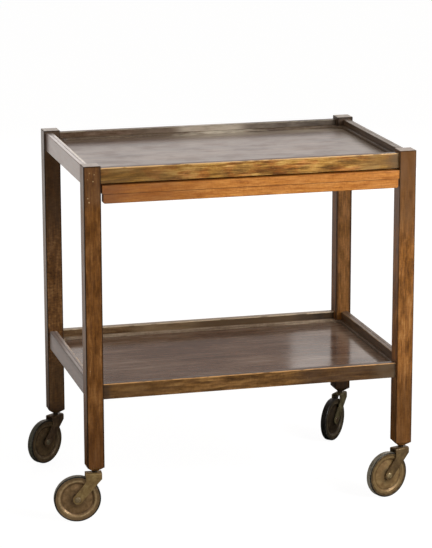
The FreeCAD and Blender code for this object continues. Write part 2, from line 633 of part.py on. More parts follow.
def build_leaf():
    keep("leaf_board", [make_leaf_board()])
    keep("leaf_lip", [make_leaf_lip()])
    keep("leaf_stops", [make_leaf_stop(-1), make_leaf_stop(1)])
    keep("stop_screws", [screw(foot, up, STOP_SCREW_LENGTH) for foot, up in stop_screw_lines()])
    keep("runner_left", [make_runner(-1)])
    keep("runner_right", [make_runner(1)])
    keep("runner_screws", [screw(foot, out, RUNNER_SCREW_LENGTH)
                           for foot, out in runner_screw_lines()])


def build_castors():
    pieces = {"socket": [make_socket()], "fork": [make_fork()], "stem": [make_stem()],
              "axle": [make_axle()], "hub": [make_hub()],
              "wheel_discs": [make_disc(-1), make_disc(1)], "tyre": [make_tyre()]}
    for corner in LEGS:
        for name, solids in pieces.items():
            keep(name + "_" + corner, [place_castor(solid, corner) for solid in solids])


os.makedirs("parts", exist_ok=True)
build_frame()
build_leaf()
build_castors()
write_nodes()
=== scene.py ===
"""How the tea trolley looks: stained and varnished beech, worn by use, on bronze castors.

Metres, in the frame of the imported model: +Z up, the front with the pull-out leaf
towards -Y, the origin on the floor.
"""
import json
import math
import random

import bpy
from mathutils import Euler, Matrix, Vector


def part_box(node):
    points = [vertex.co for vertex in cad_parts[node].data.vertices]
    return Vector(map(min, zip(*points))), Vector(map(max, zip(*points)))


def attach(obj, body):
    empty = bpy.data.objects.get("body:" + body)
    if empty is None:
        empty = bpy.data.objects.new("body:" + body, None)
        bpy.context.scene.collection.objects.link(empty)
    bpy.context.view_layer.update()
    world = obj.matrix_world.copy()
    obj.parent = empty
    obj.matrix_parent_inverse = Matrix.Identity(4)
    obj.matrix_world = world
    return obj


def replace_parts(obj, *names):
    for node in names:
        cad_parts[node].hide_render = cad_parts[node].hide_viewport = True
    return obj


MM = 0.001

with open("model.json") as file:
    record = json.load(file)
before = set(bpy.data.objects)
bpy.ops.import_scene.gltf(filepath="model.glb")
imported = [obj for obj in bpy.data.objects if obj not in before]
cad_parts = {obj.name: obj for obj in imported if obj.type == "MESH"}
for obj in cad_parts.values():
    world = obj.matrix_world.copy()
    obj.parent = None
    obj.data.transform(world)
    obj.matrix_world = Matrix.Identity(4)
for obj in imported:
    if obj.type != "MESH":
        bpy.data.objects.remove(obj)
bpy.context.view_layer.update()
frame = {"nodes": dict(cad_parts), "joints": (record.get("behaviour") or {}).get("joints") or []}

# middle of the wooden frame, from the far corners of two opposite legs
MIDDLE = (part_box("leg_front_left")[0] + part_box("leg_back_right")[1]) / 2

# ---- sizes of the castor pieces that are made again here ----------------------------
WHEEL_RADIUS = 46 * MM
TYRE_HALF_WIDTH = 6.5 * MM
TYRE_SHOW = 2.6 * MM  # how far the tyre stands out past its discs
DISC_SHEET = 1.5 * MM
FORK_ROUNDING = 1.15 * MM
STEM_ROUNDING = 0.3 * MM
SOFT_ANGLE = math.radians(40)  # edges sharper than this are rounded over
TURNED_ANGLE = math.radians(35)  # turned faces that meet flatter than this look smooth
WHEEL_STEPS = 96
RIVET_STEPS = 40

# ---- where four tones lie in the figure of a wood and in the patches of a metal ---------
WOOD_STOPS = (0.16, 0.42, 0.6, 0.86)
METAL_STOPS = (0.2, 0.45, 0.62, 0.85)

# ---- dust on the trays, and painted light beside their rails, in millimetres --------
DUST_AND_LIGHT_ALONG = (-110, 0)  # from thin to thick along the back rail, from its middle
DUST_AND_LIGHT_REACH = (64.0, 12.0)  # from a rail: where its dust starts and where it is full

# ---- radii on a wheel, in millimetres, where its finish changes ------------------------
# the dirt at the hub and in the step is partly painted shade, and the rub on the crest partly a
# painted highlight
HUB_DIRT_AND_SHADE = (8.0, 24.0)  # full, gone
STEP_DIRT_AND_SHADE = (28.5, 30.5, 31.5, 33.0)  # starts, full, still full, gone
CREST_RUB_AND_HIGHLIGHT = (33.0, 35.5, 36.0, 38.0)  # starts, full, still full, faint
FLANGE_DIRT = (37.5, 40.0)  # starts, full
# the tread's paler colour is partly a painted sheen
TREAD_DUST_AND_SHEEN = (45.3, 45.9)  # starts, full


# ---- colours and nodes ----------------------------------------------------------------
def colour(code):
    """Linear colour from an sRGB hex code."""
    channels = [int(code[i:i + 2], 16) / 255 for i in (1, 3, 5)]
    linear = [c / 12.92 if c <= 0.04045 else ((c + 0.055) / 1.055) ** 2.4 for c in channels]
    return (*linear, 1.0)


def add(material, kind, links=None, **settings):
    """Add a node to a material or world: settings are its properties, links its inputs'
    values or sources."""
    tree = material.node_tree
    node = tree.nodes.new("ShaderNode" + kind)
    for key, value in settings.items():
        setattr(node, key, value)
    for key, value in (links or {}).items():
        socket = node.inputs[key]
        if isinstance(value, bpy.types.Node):
            value = value.outputs[0]
        if isinstance(value, bpy.types.NodeSocket):
            tree.links.new(value, socket)
        else:
            socket.default_value = value
    return node


def ramp(material, factor, stops):
    """Colour ramp from (position, hex code) stops."""
    node = add(material, "ValToRGB", {"Fac": factor})
    bar = node.color_ramp.elements
    while len(bar) < len(stops):
        bar.new(0.5)
    for element, (position, code) in zip(bar, stops):
        element.position = position
        element.color = colour(code)
    return node


def blend(material, factor, below, above, mode="MIX"):
    """Mix two colours, given as sockets, nodes or hex codes."""
    below, above = [colour(c) if isinstance(c, str) else c for c in (below, above)]
    node = add(material, "Mix", data_type="RGBA", blend_type=mode, clamp_factor=True)
    for index, value in ((0, factor), (6, below), (7, above)):
        if isinstance(value, bpy.types.Node):
            value = value.outputs[2] if value.bl_idname == "ShaderNodeMix" else value.outputs[0]
        if isinstance(value, bpy.types.NodeSocket):
            material.node_tree.links.new(value, node.inputs[index])
        else:
            node.inputs[index].default_value = value
    return node.outputs[2]


def maths(material, operation, *values, clamp=False):
    """Math node on numbers, nodes or sockets."""
    links = {index: value for index, value in enumerate(values)}
    return add(material, "Math", links, operation=operation, use_clamp=clamp)


def span(material, value, low, high, to_low=0.0, to_high=1.0):
    """Smooth step from low to high."""
    links = {"Value": value, "From Min": low, "From Max": high,
             "To Min": to_low, "To Max": to_high}
    return add(material, "MapRange", links, interpolation_type="SMOOTHSTEP")


def new_material(name):
    """Empty node material."""
    material = bpy.data.materials.new(name)
    material.use_nodes = True
    material.node_tree.nodes.clear()
    return material


def in_millimetres(material):
    """Point on the model, in millimetres."""
    return add(material, "Mapping", {"Vector": add(material, "TexCoord").outputs["Object"],
                                     "Scale": (1 / MM,) * 3})


def surface(material, **inputs):
    """Principled shader with its inputs set or linked, sent to the output."""
    links = {key.replace("_", " "): value for key, value in inputs.items()}
    shader = add(material, "BsdfPrincipled", links)
    add(material, "OutputMaterial", {"Surface": shader})
    return material


# ---- wood ---------------------------------------------------------------------------------
GRAIN_TURNS = {"X": (0, 0, 0), "Y": (0, 0, math.radians(90)), "Z": (0, math.radians(90), 0)}


def on_piece(material, node, along="X"):
    """Millimetres from a piece's middle, turned so that its grain runs along X; across is
    Y and up is Z on a lying board. Also its half sizes in that order."""
    low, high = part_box(node)
    turn = Euler(GRAIN_TURNS[along])
    middle = turn.to_matrix() @ ((low + high) / 2 / MM)
    half = turn.to_matrix() @ ((high - low) / 2 / MM)
    point = add(material, "Mapping", {
        "Vector": add(material, "TexCoord").outputs["Object"], "Location": -middle,
        "Rotation": turn, "Scale": (1 / MM,) * 3})
    return point, [abs(value) for value in half]


def grain(material, point, size, stretch, rng, detail=4.0, roughness=0.55):
    """Noise with features of size mm, stretch times as long along the grain, taken from
    another place in the tree each time."""
    offset = [rng.uniform(-90, 90) for _ in range(3)]
    moved = add(material, "Mapping", {"Vector": point, "Location": offset,
                                      "Scale": (1 / size / stretch, 1 / size, 1 / size)})
    return add(material, "TexNoise", {"Vector": moved, "Scale": 1.0, "Detail": detail,
                                      "Roughness": roughness}).outputs["Fac"]


def weighed(material, *parts):
    """0.5 plus each (weight, noise) pair's departure from 0.5."""
    total = 0.5 - sum(weight for weight, _ in parts) / 2
    for weight, value in parts:
        total = maths(material, "MULTIPLY_ADD", value, weight, total)
    return total


def growth_rings(material, point, spacing, rng):
    """Year rings round a pith outside the board: long loops on its flat faces. The rings
    wander by as much as half of swirl mm."""
    swirl = 46.0
    pith = (rng.uniform(-4, 4), rng.uniform(14, 26), -rng.uniform(10, 18))
    wobble = add(material, "Mapping", {"Vector": point, "Scale": (0.012, 0.05, 0.05),
                                       "Location": (rng.uniform(-50, 50), 0, 0)})
    wobble = add(material, "TexNoise", {"Vector": wobble, "Scale": 1.0, "Detail": 3.0})
    wobble = add(material, "VectorMath", {0: wobble.outputs["Color"], 1: (0.5, 0.5, 0.5)},
                 operation="SUBTRACT")
    bent = add(material, "VectorMath", {0: wobble, 1: (0, swirl, swirl), 2: point},
               operation="MULTIPLY_ADD")
    from_pith = add(material, "Mapping", {"Vector": bent, "Location": pith,
                                          "Scale": (0.07, 1, 1)})
    radius = add(material, "VectorMath", {0: from_pith}, operation="LENGTH").outputs["Value"]
    wave = maths(material, "SINE", maths(material, "MULTIPLY", radius, math.tau / spacing))
    return maths(material, "MULTIPLY_ADD", wave, 0.5, 0.5)


def edge_band(material, point, half, width):
    """1 on a board's arrises, falling to 0 at width mm from them."""
    parts = add(material, "SeparateXYZ", {"Vector": point})
    gaps = [maths(material, "SUBTRACT", size, maths(material, "ABSOLUTE", part))
            for size, part in zip(half, parts.outputs)]
    along = maths(material, "ADD", gaps[1], gaps[2])
    ends = maths(material, "ADD", gaps[0], maths(material, "MINIMUM", gaps[1], gaps[2]))
    return span(material, maths(material, "MINIMUM", along, ends), width * 0.3, width, 1.0, 0.0)


def pale_top_line(material, point, half, start, end, width, rng):
    """A pale line along a rail's top, worn through the varnish and on the front rails' top
    arris partly a painted highlight, from across = start at one end to across = end at the
    other, given as parts of the half width."""
    parts = add(material, "SeparateXYZ", {"Vector": point})
    course = add(material, "MapRange", {
        "Value": parts.outputs["X"], "From Min": -half[0], "From Max": half[0],
        "To Min": start * half[1], "To Max": end * half[1]})
    aside = maths(material, "ABSOLUTE", maths(material, "SUBTRACT", parts.outputs["Y"], course))
    below = maths(material, "SUBTRACT", half[2], parts.outputs["Z"])
    near = span(material, maths(material, "ADD", aside, below), width * 0.4, width, 1.0, 0.0)
    broken = span(material, grain(material, point, 5.0, 5.0, rng), 0.38, 0.52, 0.15, 1.0)
    return maths(material, "MULTIPLY", near, broken)


def marks(material, point, places, stretch, rng):
    """Ragged dented spots, and long pale spots that are painted highlights, at given
    (along, across, up, radius) places, in millimetres, stretch times as long along the grain."""
    shrunk = add(material, "Mapping", {"Vector": point, "Scale": (1 / stretch, 1, 1)})
    ragged = maths(material, "SUBTRACT", grain(material, point, 3.0, stretch, rng), 0.5)
    total = 0.0
    for along, across, up, radius in places:
        gap = add(material, "VectorMath", {0: shrunk, 1: (along / stretch, across, up)},
                  operation="DISTANCE")
        gap = maths(material, "MULTIPLY_ADD", ragged, radius * 1.8, gap.outputs["Value"])
        total = maths(material, "MAXIMUM", total, span(material, gap, 0, radius, 1, 0))
    return total


def faded(material, point, skin, fades, blotches):
    """Change towards a colour along the board: (hex code, where it starts, where it is
    full, how much), in millimetres from the middle."""
    along = add(material, "SeparateXYZ", {"Vector": point}).outputs["X"]
    patchy = span(material, blotches, 0.3, 0.6, 0.6, 1.0)
    for code, start, full, amount in fades:
        low, high = sorted((start, full))
        ends = (amount, 0.0) if start > full else (0.0, amount)
        share = maths(material, "MULTIPLY", span(material, along, low, high, *ends), patchy)
        skin = blend(material, share, skin, code)
    return skin


def stained_beech(name, node, along, tones, seed, streak=0.9, blotch=0.9, ripple=0.3, rings=0.0,
                  spacing=9.0, rough=0.34, arris="#241508", arris_width=2.0, arris_mix=0.6,
                  line=None, line_width=1.8, worn="#D0AC78", warm=None, fades=(), dents_and_highlights=(),
                  dent_and_highlight_length=1.0, haze=0.0, top=None, top_depth=0.7, end=None, coat=0.0):
    """Steamed beech, spirit stained and varnished: close streaks and short flecks in the
    grain, stain that took unevenly, dirt on the arrises, on some pieces widened into painted
    shade, and worn lines and dented spots that show pale unvarnished wood, some of them
    painted highlights instead. Satin, because the varnish is old and thin.

    top colours the upper face, down to top_depth mm, and end the end grain at the top of a
    leg; where these colours are pale they are partly a painted sheen. haze is a sheen of dust,
    and coat a thicker varnish that arris dirt, painted shade and wear take off."""
    material = new_material(name)
    rng = random.Random(seed)
    point, half = on_piece(material, node, along)
    streaks = grain(material, point, 3.0, 14, rng, 5, 0.62)
    pores = grain(material, point, 0.9, 16, rng, 3, 0.6)
    blotches = grain(material, point, 12.0, 3.6, rng, 4, 0.62)
    # short bars across the grain, seen as patches of light and dark
    bars = grain(material, point, 7.0, 0.5, rng, 3)
    parts = [(streak, streaks), (0.5 * streak, pores), (blotch, blotches), (ripple, bars)]
    if rings:
        parts.append((rings, growth_rings(material, point, spacing, rng)))
    tone = weighed(material, *parts)
    skin = ramp(material, tone, list(zip(WOOD_STOPS, tones)))
    if warm:
        patch = span(material, grain(material, point, 17.0, 2.2, rng, 3), 0.46, 0.62, 0, 0.5)
        skin = blend(material, patch, skin, warm, "MULTIPLY")
    # ray flecks, drawn about twice as coarse as real ones so that they show
    flecks = span(material, grain(material, point, 1.3, 4.5, rng, 2), 0.6, 0.7, 0, 0.25)
    skin = blend(material, flecks, skin, tones[3])
    skin = faded(material, point, skin, fades, blotches)
    faces = add(material, "SeparateXYZ", {"Vector": point})
    # dark band on the arrises: dirt, on the back right leg and the lower tray's left rail widened
    # partly into painted shade
    grime_and_shade = maths(material, "MULTIPLY", edge_band(material, point, half, arris_width), arris_mix)
    dull = grime_and_shade
    if top:
        face = span(material, faces.outputs["Z"], half[2] - top_depth,
                    half[2] - 0.4 * top_depth, 0.0, 0.85)
        skin = blend(material, face, skin, top)
        dull = maths(material, "MAXIMUM", grime_and_shade, face)
    skin = blend(material, grime_and_shade, skin, arris)
    if end:
        face = span(material, faces.outputs["X"], half[0] - 0.4, half[0] - 0.1, 0.0, 0.9)
        skin = blend(material, face, skin, end)
    # pale dented spots, chips and worn lines; the long pale spots on the top back rail and its
    # bead are painted highlights, and the front rails' top arris lines partly so
    bare_and_highlight = marks(material, point, dents_and_highlights, dent_and_highlight_length, rng)
    # small chips, a few to a board
    chips = add(material, "TexVoronoi", {
        "Vector": add(material, "Mapping", {"Vector": point, "Scale": (0.6, 1, 1),
                                            "Location": (rng.uniform(0, 900), 0, 0)}),
        "Scale": 0.05})
    chip = maths(material, "MULTIPLY", span(material, chips.outputs["Distance"], 0.03, 0.06, 1, 0),
                 span(material, chips.outputs["Color"], 0.64, 0.68, 0, 0.5))
    bare_and_highlight = maths(material, "MAXIMUM", bare_and_highlight, chip)
    if line:
        bare_and_highlight = maths(material, "MAXIMUM", bare_and_highlight,
                     pale_top_line(material, point, half, *line, line_width, rng))
    skin = blend(material, bare_and_highlight, skin, worn)
    gloss = span(material, blotches, 0.35, 0.65, rough * 0.85, rough * 1.2)
    gloss = maths(material, "MULTIPLY_ADD", bare_and_highlight, 0.15, gloss)
    height = weighed(material, (0.5, streaks), (1.0, pores), (-0.8, bare_and_highlight))
    bump = add(material, "Bump", {"Strength": 0.12, "Distance": 0.0002, "Height": height})
    return surface(material, Base_Color=skin, Roughness=gloss, Normal=bump, IOR=1.48,
                   Sheen_Weight=haze, Sheen_Roughness=0.35, Coat_Roughness=0.25,
                   Coat_Weight=maths(material, "MULTIPLY_ADD", dull, -coat, coat))


def varnished_ply(name, node, tones, seed, rough, dust_and_light_colour, least, dust_and_light_amounts, coat=0.0):
    """Beech-faced plywood under thick varnish: long quiet figure, shine rubbed off in
    patches, and fine scratches where trays and cups have slid.

    The pale colour is that of the dust and of the painted light beside the rails, the two
    amounts say how thick it lies along the back and the right rail, and least the share of it
    that thin places keep."""
    material = new_material(name)
    rng = random.Random(seed)
    point, half = on_piece(material, node)
    figure = grain(material, point, 26.0, 7, rng, 4, 0.6)
    streaks = grain(material, point, 6.0, 24, rng, 5, 0.6)
    pores = grain(material, point, 1.2, 16, rng, 3)
    clouds = grain(material, point, 70.0, 1.5, rng, 4)
    tone = weighed(material, (0.9, figure), (1.0, streaks), (0.4, pores), (0.7, clouds))
    skin = ramp(material, tone, list(zip(WOOD_STOPS, tones)))
    rubbed = span(material, grain(material, point, 42.0, 1.6, rng, 5, 0.65), 0.42, 0.66)
    scratch = span(material, grain(material, point, 1.8, 16, rng, 2), 0.66, 0.74)
    skin = blend(material, maths(material, "MULTIPLY", scratch, 0.3), skin, tones[3])
    # pale dust and worn varnish along the back rail, more of it to the right, and along
    # the right rail, where cloths don't reach; it is partly painted light, lifting the shade
    # and dark reflections of the rails beside it
    parts = add(material, "SeparateXYZ", {"Vector": point})
    back, right = dust_and_light_amounts
    starts, full = DUST_AND_LIGHT_REACH
    near_back = maths(material, "MULTIPLY",
                      span(material, parts.outputs["X"], *DUST_AND_LIGHT_ALONG, 0.3 * back, back),
                      span(material, parts.outputs["Y"], half[1] - starts, half[1] - full))
    near_right = span(material, parts.outputs["X"], half[0] - starts, half[0] - full, 0.0, right)
    edge = maths(material, "MAXIMUM", near_back, near_right, clamp=True)
    dust_and_light_mask = maths(material, "MULTIPLY", edge,
                    span(material, grain(material, point, 16.0, 3.0, rng), 0.3, 0.62, least, 0.95))
    skin = blend(material, dust_and_light_mask, skin, dust_and_light_colour)
    gloss = maths(material, "MULTIPLY_ADD", rubbed, rough * 0.4, rough)
    gloss = maths(material, "MULTIPLY_ADD", scratch, 0.1, gloss)
    height = weighed(material, (0.6, streaks), (0.5, pores), (-0.5, scratch))
    bump = add(material, "Bump", {"Strength": 0.05, "Distance": 0.0002, "Height": height})
    return surface(material, Base_Color=skin, Roughness=gloss, Normal=bump, IOR=1.5,
                   Coat_Weight=coat, Coat_Roughness=0.3)


def plain_wood(name, light, dark):
    """Unvarnished beech of the hidden strips and dowels: pale, close grained, dry."""
    material = new_material(name)
    point = in_millimetres(material)
    streaks = grain(material, point, 3.0, 1.0, random.Random(5))
    return surface(material, Base_Color=ramp(material, streaks, [(0.3, dark), (0.7, light)]),
                   Roughness=0.6)


# ---- metal and rubber ---------------------------------------------------------------------
def worn_bronze(name, tones, rubbed=None, grime_and_shade=None, gloss=0.38, metal=0.35, flange=None):
    """Pressed steel under a bronze lacquer gone brown and patchy: a dull gold sheen where
    it is rubbed, on a wheel's crest also a painted highlight. A wheel disc, with the share of
    dirt on its flange given, is dark round the hub and in the step, with dirt and partly
    painted shade, and dark with dirt on the flange."""
    material = new_material(name)
    rng = random.Random(name)
    point = in_millimetres(material)
    patches = grain(material, point, 11.0, 1.0, rng, 3, 0.5)
    stains = grain(material, point, 5.0, 1.0, rng, 4, 0.6)
    specks = grain(material, point, 1.1, 1.0, rng, 3, 0.6)
    tone = weighed(material, (0.8, patches), (0.5, stains), (0.15, specks))
    skin = ramp(material, tone, list(zip(METAL_STOPS, tones)))
    if flange is not None:
        radius = add(material, "Attribute", attribute_name="radius").outputs["Fac"]
        # the crest's rubbed lacquer, partly a painted highlight
        crest = maths(material, "MULTIPLY", span(material, radius, *CREST_RUB_AND_HIGHLIGHT[:2]),
                      span(material, radius, *CREST_RUB_AND_HIGHLIGHT[2:], 1.0, 0.25))
        rim = maths(material, "MULTIPLY", crest, span(material, stains, 0.3, 0.7, 0.3, 0.8))
        skin = blend(material, rim, skin, rubbed)
        # dark round the hub and in the step: dirt, and partly painted shade under the rivet and
        # fork and in the step
        hub = maths(material, "MULTIPLY", span(material, radius, *HUB_DIRT_AND_SHADE, 0.95, 0.0),
                    span(material, patches, 0.45, 0.6, 0.4, 1.0))
        step = maths(material, "MULTIPLY", span(material, radius, *STEP_DIRT_AND_SHADE[:2], 0.0, 0.5),
                     span(material, radius, *STEP_DIRT_AND_SHADE[2:], 1.0, 0.0))
        outer = span(material, radius, *FLANGE_DIRT, 0.0, flange)
        dirt_and_shade = maths(material, "MAXIMUM", maths(material, "MAXIMUM", hub, outer), step)
        dirt_and_shade = maths(material, "MULTIPLY", dirt_and_shade, span(material, stains, 0.3, 0.6, 0.5, 1.0))
        skin = blend(material, dirt_and_shade, skin, grime_and_shade)
    rough = span(material, stains, 0.3, 0.7, gloss * 1.3, gloss * 0.85)
    bump = add(material, "Bump", {"Strength": 0.1, "Distance": 0.0002,
                                  "Height": weighed(material, (0.6, stains), (0.4, specks))})
    return surface(material, Base_Color=skin, Metallic=metal, Roughness=rough, Normal=bump)


def hard_rubber(name, worn):
    """Vulcanised rubber of an old castor tyre: near black, greyed with dust and polished by
    the floor on its tread, whose paler colour is partly a painted sheen."""
    material = new_material(name)
    point = in_millimetres(material)
    dust = grain(material, point, 4.0, 1.0, random.Random(3), 5, 0.65)
    skin = ramp(material, dust, [(0.35, "#12110E"), (0.55, "#24221D"), (0.8, "#57534A")])
    radius = add(material, "Attribute", attribute_name="radius").outputs["Fac"]
    # paler tread: dust and wear, and partly a painted sheen
    tread = span(material, radius, *TREAD_DUST_AND_SHEEN, 0.0, 0.8)
    skin = blend(material, tread, skin, ramp(material, dust, [(0.35, worn[0]), (0.65, worn[1])]))
    bump = add(material, "Bump", {"Strength": 0.1, "Distance": 0.0002, "Height": dust})
    return surface(material, Base_Color=skin, Roughness=span(material, dust, 0.4, 0.6, 0.3, 0.5),
                   Normal=bump)


def dull_steel(name, code):
    """Plain steel, darkened by age: stems, sockets, bushes and screws."""
    material = new_material(name)
    point = in_millimetres(material)
    stain = grain(material, point, 2.5, 1.0, random.Random(4))
    skin = blend(material, span(material, stain, 0.4, 0.7), code, "#2A231B")
    return surface(material, Base_Color=skin, Metallic=0.85,
                   Roughness=span(material, stain, 0.3, 0.7, 0.35, 0.55))


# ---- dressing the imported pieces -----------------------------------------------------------
def finish_node(node, material):
    """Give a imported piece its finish."""
    for slot in frame["nodes"][node].material_slots:
        slot.material = material


# along a leg or rail, fades and dented spots, and painted highlights, are counted in millimetres
# from its middle
# the front right leg's lighter tones are partly painted light, and the pale end grain on each
# leg's top partly a painted sheen
LEG_LOOKS = {
    "front_left": dict(
        tones=("#422708", "#693F13", "#80501B", "#A07038"), end="#B4A496", coat=0.1,
        arris_mix=0.9, arris_width=3.4,
        fades=(("#5A381A", -150, -250, 0.5), ("#5E4430", 210, 240, 0.4)),
        dents_and_highlights=((240, -16.5, 9.0, 1.8), (232, -16.5, 6.5, 2.0), (-98, -16.5, 9, 1.4),
               (288, -16.5, 5.0, 1.7), (285, -16.5, -4.0, 1.4), (272, -16.5, -1.5, 1.8),
               (276, -16.5, 9.0, 1.2))),
    "front_right": dict(
        tones=("#4C2A0C", "#784A1A", "#9A6226", "#B68246"), end="#B8A698",
        arris_mix=0.7, arris_width=2.6,
        fades=(("#523414", -110, -210, 0.6), ("#6A4826", 100, 180, 0.7),
               ("#6A441E", 215, 240, 0.5))),
    "back_left": dict(
        tones=("#3E260F", "#65421F", "#7C5429", "#9C7446"), ripple=0.9, end="#A89A8C",
        coat=0.35, arris_mix=0.9, arris_width=2.6,
        fades=(("#48321C", 40, 140, 0.7), ("#5A4428", -160, -220, 0.5),
               ("#2E2014", -270, -292, 0.6), ("#5C5248", 252, 266, 0.6))),
    # back right leg: its arrises, darkened in a band 6 mm wide, are partly painted shade, and its
    # foot, dark from -262 mm down, is painted shadow under the lower tray
    "back_right": dict(
        tones=("#482A0C", "#724A1C", "#8E5C26", "#AC7A42"), end="#B4A696",
        arris_mix=0.8, arris_width=6.0,
        fades=(("#4E3E30", 248, 262, 0.95), ("#5A3E22", -130, -200, 0.5),
               ("#22160C", -262, -282, 0.95))),
}
RAIL_LOOKS = {
    # top front rail: the pale line along its top arris is wear and partly a painted highlight, and
    # its darkening towards the left end partly painted shade
    ("top", "front"): dict(
        tones=("#65451B", "#92662A", "#BA883C", "#DEB266"), rings=0.2, spacing=15.0, blotch=0.8,
        ripple=0.2, streak=1.5, warm="#F4B49C", line=(-1, -1), line_width=2.5, worn="#F0C080",
        top="#4A2C18", arris_mix=0.0,
        fades=(("#62564A", 262, 290, 0.85), ("#6A4E26", -50, -215, 0.7),
               ("#7A5A2E", 190, 240, 0.62))),
    # top back rail: the pale middle, from its pale fades and the long pale spot there, is a
    # painted highlight
    ("top", "back"): dict(
        tones=("#36281A", "#604A36", "#765E4C", "#96806A"), line=(-1, -1), worn="#C8B89C",
        line_width=1.4,
        fades=(("#7C6C5C", -170, -110, 0.65), ("#C2B4A2", -60, -26, 0.92),
               ("#443426", 72, 116, 0.92), ("#3A2E24", 200, 260, 0.6)),
        dents_and_highlights=((26, -10, -9, 9.0), (-284, -10, -6, 4.0)), dent_and_highlight_length=9.0),
    ("top", "left"): dict(
        tones=("#54382A", "#7A5644", "#96705C", "#B49480"), line=(1, 0.4), worn="#ECD6B4",
        haze=0.5, coat=1.0, blotch=0.6, streak=0.5, arris_mix=0.0, line_width=2.6),
    # top right rail: its pale top face is partly a painted reflection
    ("top", "right"): dict(
        tones=("#30241A", "#4C3A2A", "#624C3A", "#846C54"), line=(-1, -1), worn="#B49C7C",
        line_width=1.2, streak=0.7, coat=0.2, top="#8A7A6A"),
    # front rail of the lower tray: the pale line along its top arris is wear and partly a painted
    # highlight, and its darkening towards the left end partly painted shade
    ("shelf", "front"): dict(
        tones=("#3E280E", "#68461E", "#845C2C", "#A88046"), rings=0.15,
        line=(-1, -1), line_width=2.0, worn="#E0A868", arris_mix=0.0, top="#4A3220",
        fades=(("#5E4224", -100, -240, 0.5), ("#423024", 75, 125, 0.72),
               ("#66543E", 235, 275, 0.65), ("#3A2C20", -276, -290, 0.7))),
    # back rail of the lower tray: its pale top face is a painted sheen
    ("shelf", "back"): dict(
        tones=("#3C2A16", "#62482C", "#7A5E3E", "#98805C"), line=(-1, -1), worn="#D8C4A4",
        line_width=2.4, top="#B8A690", arris_mix=0.0,
        fades=(("#927C5E", -180, -130, 0.6), ("#54402C", -40, 15, 0.75),
               ("#241A10", 180, 262, 0.85))),
    # left rail of the lower tray: the dark band 6 mm wide on its arrises is partly painted shade
    # round the reflection on its outer face
    ("shelf", "left"): dict(
        tones=("#54382A", "#7A5644", "#96705C", "#B49480"), line=(0.75, 0.75), worn="#CCB090",
        haze=0.5, coat=1.0, blotch=0.7, streak=0.6, line_width=3.0, top="#6C5040",
        top_depth=15.0, arris="#4E3828", arris_mix=0.5, arris_width=6.0,
        fades=(("#7A6454", 120, 175, 0.6), ("#C8B8A0", -168, -180, 0.8))),
    ("shelf", "right"): dict(
        tones=("#30200F", "#4C3622", "#66503A", "#887258"), line=(-1, -1), worn="#B89C74",
        line_width=1.6, top="#6E5640"),
}


def dress_frame():
    """Legs, rails, tray bottoms and beads."""
    for index, (corner, looks) in enumerate(LEG_LOOKS.items()):
        finish_node("leg_" + corner, stained_beech(
            "stained beech leg " + corner.replace("_", " "), "leg_" + corner, "Z",
            seed=11 + index, **looks))
    for index, ((tray, side), looks) in enumerate(RAIL_LOOKS.items()):
        finish_node(f"{tray}_rail_{side}", stained_beech(
            f"stained beech rail {tray} {side}", f"{tray}_rail_{side}",
            "X" if side in ("front", "back") else "Y", seed=31 + index, **looks))
    finish_node("top_panel", varnished_ply(
        "varnished top tray", "top_panel", ("#4A3024", "#664838", "#785A48", "#947A68"),
        seed=71, rough=0.3, dust_and_light_colour="#CCBEAC", least=0.5, dust_and_light_amounts=(1.2, 0.55), coat=0.38))
    finish_node("shelf_panel", varnished_ply(
        "varnished lower tray", "shelf_panel", ("#4A362A", "#664C3C", "#785F4D", "#927C6A"),
        seed=72, rough=0.13, dust_and_light_colour="#A8947E", least=0.2, dust_and_light_amounts=(0.1, 0.8)))
    beads = {
        # the long pale spot on the top bead is a painted highlight
        "top": dict(tones=("#382A1E", "#584636", "#6E5C48", "#8C7860"), rough=0.5,
                    dents_and_highlights=((41, 190, 0, 12.0),), dent_and_highlight_length=9.0, worn="#C8BCA8"),
        "shelf": dict(tones=("#5A4430", "#84705A", "#A08C74", "#BCA890"), rough=0.45,
                      fades=(("#4E4032", 294, 301, 0.8),))}
    for tray, looks in beads.items():
        finish_node(tray + "_bead", stained_beech(
            "stained beech bead " + tray, tray + "_bead", "X", seed=81, arris_mix=0.0, **looks))
    finish_node("rail_dowels", plain_wood("dowel beech", "#C8A070", "#A87C4C"))


def dress_leaf():
    """The pull-out leaf, kept from the light, so redder and clearer than the frame."""
    tones = ("#864A18", "#B6702C", "#CC863A", "#E09E52")
    # the leaf darkens towards its left end, partly as painted shade
    looks = dict(streak=0.9, blotch=0.6, rings=0.08, spacing=7.0,
                 fades=(("#6E4A38", -230, -290, 0.6), ("#7E4A26", -45, -190, 0.55)))
    finish_node("leaf_board", stained_beech(
        "stained beech leaf", "leaf_board", "X", tones, seed=91, arris_mix=0.2,
        arris_width=1.2, **looks))
    finish_node("leaf_lip", stained_beech(
        "stained beech leaf grip", "leaf_lip", "X", tones, seed=92, arris="#3A1E0A",
        arris_mix=0.75, arris_width=1.4, **looks))
    strips = plain_wood("runner beech", "#A87C4E", "#7E5832")
    for node in ("leaf_stops", "runner_left", "runner_right"):
        finish_node(node, strips)
    steel = dull_steel("screw steel", "#8A8478")
    for node in ("stop_screws", "runner_screws"):
        finish_node(node, steel)


